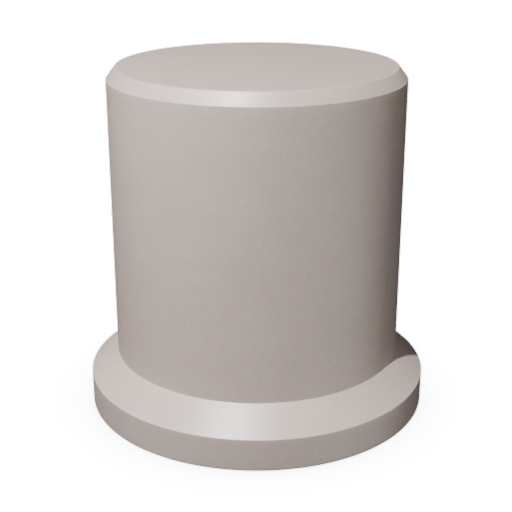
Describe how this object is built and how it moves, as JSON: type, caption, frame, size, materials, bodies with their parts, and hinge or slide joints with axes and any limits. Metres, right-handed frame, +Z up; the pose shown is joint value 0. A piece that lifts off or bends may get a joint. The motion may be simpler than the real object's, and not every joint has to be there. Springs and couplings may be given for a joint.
{
  "type": "column base",
  "caption": "Round stone column base: a plain drum with a chamfered flat seat on top, standing on a wider round foot with a low upright wall and a sloping top, worked from one block.",
  "frame": {"origin": "centre of the flat underside, on the block's vertical axis, at the level that it stands on", "axes": "+Z up along the block's axis, from the underside towards the seat; the block is round, so X and Y are any two level directions at right angles, and -Y faces the picture's camera"},
  "size_m": [0.5, 0.5, 0.499],
  "materials": {
    "limestone": "satin"
  },
  "bodies": {
    "root": {"column_base": "limestone"}
  },
  "joints": []
}
